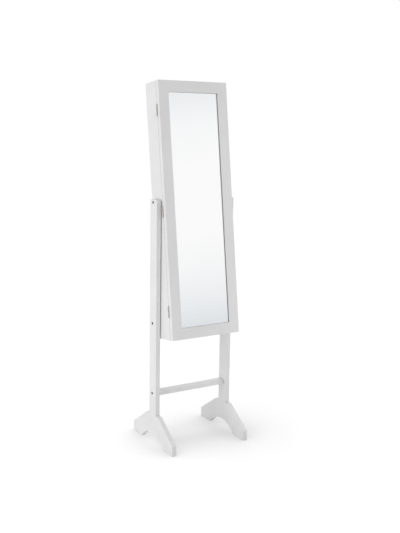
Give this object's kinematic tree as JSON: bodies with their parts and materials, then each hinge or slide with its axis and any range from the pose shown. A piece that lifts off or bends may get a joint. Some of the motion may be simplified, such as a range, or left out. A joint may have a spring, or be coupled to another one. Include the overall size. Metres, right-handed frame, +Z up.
{
  "type": "jewelry mirror cabinet",
  "caption": "Free-standing full-length mirror whose framed door opens a shallow jewelry cabinet, tilting between two posts on arched feet.",
  "frame": {"origin": "on the floor, midway between the two feet and halfway along them", "axes": "+X to the right of a person facing the mirror, +Y to the back, +Z up"},
  "size_m": [0.3694, 0.346, 1.5131],
  "materials": {
    "painted_board": "white satin lacquer on fibreboard",
    "velvet": "short dark pile",
    "mirror_silver": "silvered float glass",
    "hinge_steel": "nickel-plated sheet steel",
    "fastener_steel": "blackened steel",
    "zinc_steel": "bright zinc plate",
    "beech": "bare beech",
    "fibreboard": "thin white-faced fibreboard",
    "white_plastic": "moulded plastic",
    "felt": "pressed felt",
    "clear_rubber": "soft clear bumper",
    "ferrite": "ferrite magnet"
  },
  "bodies": {
    "stand": {"left_foot": "painted_board", "right_foot": "painted_board", "left_post": "painted_board", "right_post": "painted_board", "upper_crossbar": "painted_board", "lower_crossbar": "painted_board", "crossbar_bolts": "fastener_steel", "crossbar_barrel_nuts": "zinc_steel", "crossbar_dowels": "beech", "foot_bolts": "fastener_steel", "foot_barrel_nuts": "zinc_steel", "foot_dowels": "beech"},
    "cabinet": {"left_side_panel": "painted_board", "right_side_panel": "painted_board", "top_panel": "painted_board", "bottom_panel": "painted_board", "upper_shelf": "painted_board", "middle_shelf": "painted_board", "lower_shelf": "painted_board", "guard_rails": "painted_board", "earring_bars": "painted_board", "pivot_bolts": "fastener_steel", "pivot_inserts": "zinc_steel", "carcass_dowels": "beech", "back_panel": "fibreboard", "back_lining": "velvet", "ring_cushion": "velvet", "rear_pads": "felt", "pivot_washers": "white_plastic", "catch_housings": "white_plastic", "catch_magnets": "ferrite", "door_buffers": "clear_rubber", "necklace_hook_strip": "white_plastic", "bracelet_rod": "zinc_steel", "upper_hinge_cabinet_leaf": "hinge_steel", "upper_hinge_pin": "hinge_steel", "middle_hinge_cabinet_leaf": "hinge_steel", "middle_hinge_pin": "hinge_steel", "lower_hinge_cabinet_leaf": "hinge_steel", "lower_hinge_pin": "hinge_steel"},
    "door": {"left_stile": "painted_board", "right_stile": "painted_board", "top_rail": "painted_board", "bottom_rail": "painted_board", "corner_dowels": "beech", "mirror_glass": "mirror_silver", "mirror_backing": "fibreboard", "glazing_beads": "painted_board", "strike_plates": "zinc_steel", "upper_hinge_door_leaf": "hinge_steel", "middle_hinge_door_leaf": "hinge_steel", "lower_hinge_door_leaf": "hinge_steel"}
  },
  "joints": [
    {"name": "cabinet_tilt", "type": "hinge", "parent": "stand", "child": "cabinet", "pos_m": [0, 0.005, 1.026], "axis": [-1, 0, 0], "range_deg": [0, 20]},
    {"name": "door_swing", "type": "hinge", "parent": "cabinet", "child": "door", "pos_m": [-0.1652, -0.03488, 1.03141], "axis": [0, -0.1344, -0.9909], "range_deg": [0, 110]}
  ]
}
